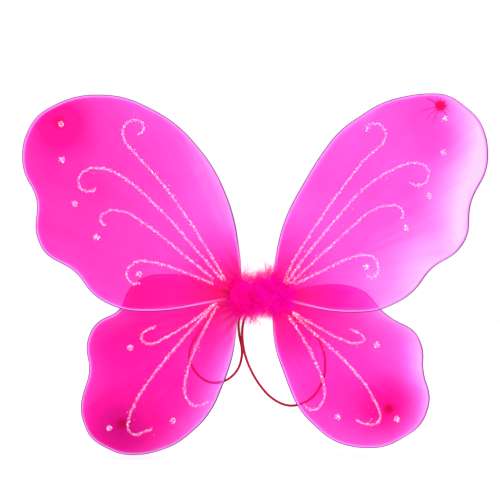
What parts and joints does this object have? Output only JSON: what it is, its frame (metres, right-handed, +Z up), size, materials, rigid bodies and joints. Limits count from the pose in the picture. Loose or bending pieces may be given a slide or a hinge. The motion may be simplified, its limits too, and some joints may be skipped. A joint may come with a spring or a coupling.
{
  "type": "fairy wings",
  "caption": "Wearable costume wings: sheer nylon over bent wire loops, glitter scrolls, a marabou centre and elastic shoulder loops.",
  "frame": {"origin": "middle of the tape-wrapped hub, where the four wings meet and the wearer's back and shoulder loops hold them", "axes": "+Z up as worn; +X to the right of someone facing the decorated side; +Y towards the wearer, so the decorated side faces -Y"},
  "size_m": [0.4653, 0.0448, 0.3616],
  "materials": {
    "frame_wire": "satin",
    "wing_nylon": "satin",
    "gathered_nylon": "satin",
    "tie_thread": "matte",
    "binding_thread": "matte",
    "glitter": "gloss",
    "hub_tape": "matte",
    "marabou": "matte",
    "trim_string": "matte",
    "elastic": "matte"
  },
  "bodies": {
    "hub": {"hub_tape_wrap": "hub_tape", "left_upper_wire_tail": "frame_wire", "right_upper_wire_tail": "frame_wire", "left_lower_wire_tail": "frame_wire", "right_lower_wire_tail": "frame_wire", "marabou_trim": "marabou", "marabou_core_string": "trim_string", "left_strap_knot": "elastic", "right_strap_knot": "elastic", "left_shoulder_strap": "elastic", "right_shoulder_strap": "elastic"},
    "left_lower_wing": {"left_lower_wing_frame": "frame_wire", "left_lower_wing_cover": "wing_nylon", "left_lower_glitter_scrolls": "glitter", "left_lower_glitter_dots": "glitter", "left_lower_cover_gather": "gathered_nylon", "left_lower_gather_tie": "tie_thread", "left_lower_root_binding": "binding_thread"},
    "left_upper_wing": {"left_upper_wing_frame": "frame_wire", "left_upper_wing_cover": "wing_nylon", "left_upper_glitter_scrolls": "glitter", "left_upper_glitter_dots": "glitter", "left_upper_cover_gather": "gathered_nylon", "left_upper_gather_tie": "tie_thread", "left_upper_root_binding": "binding_thread"},
    "right_lower_wing": {"right_lower_wing_frame": "frame_wire", "right_lower_wing_cover": "wing_nylon", "right_lower_glitter_scrolls": "glitter", "right_lower_glitter_dots": "glitter", "right_lower_cover_gather": "gathered_nylon", "right_lower_gather_tie": "tie_thread", "right_lower_root_binding": "binding_thread"},
    "right_upper_wing": {"right_upper_wing_frame": "frame_wire", "right_upper_wing_cover": "wing_nylon", "right_upper_glitter_scrolls": "glitter", "right_upper_glitter_dots": "glitter", "right_upper_cover_gather": "gathered_nylon", "right_upper_gather_tie": "tie_thread", "right_upper_root_binding": "binding_thread"}
  },
  "joints": [
    {"name": "left_lower_fold", "type": "hinge", "parent": "hub", "child": "left_lower_wing", "pos_m": [-0.0095, 0, 0], "axis": [0, 0, 1], "range_deg": [0, 60], "deforming": ["marabou_trim"]},
    {"name": "left_upper_fold", "type": "hinge", "parent": "left_lower_wing", "child": "left_upper_wing", "pos_m": [-0.0095, 0, 0], "axis": [0, 0, 1], "range_deg": [0, 20], "deforming": ["marabou_trim"]},
    {"name": "right_lower_fold", "type": "hinge", "parent": "hub", "child": "right_lower_wing", "pos_m": [0.0095, 0, 0], "axis": [0, 0, -1], "range_deg": [0, 60], "deforming": ["marabou_trim"]},
    {"name": "right_upper_fold", "type": "hinge", "parent": "right_lower_wing", "child": "right_upper_wing", "pos_m": [0.0095, 0, 0], "axis": [0, 0, -1], "range_deg": [0, 20], "deforming": ["marabou_trim"]}
  ]
}
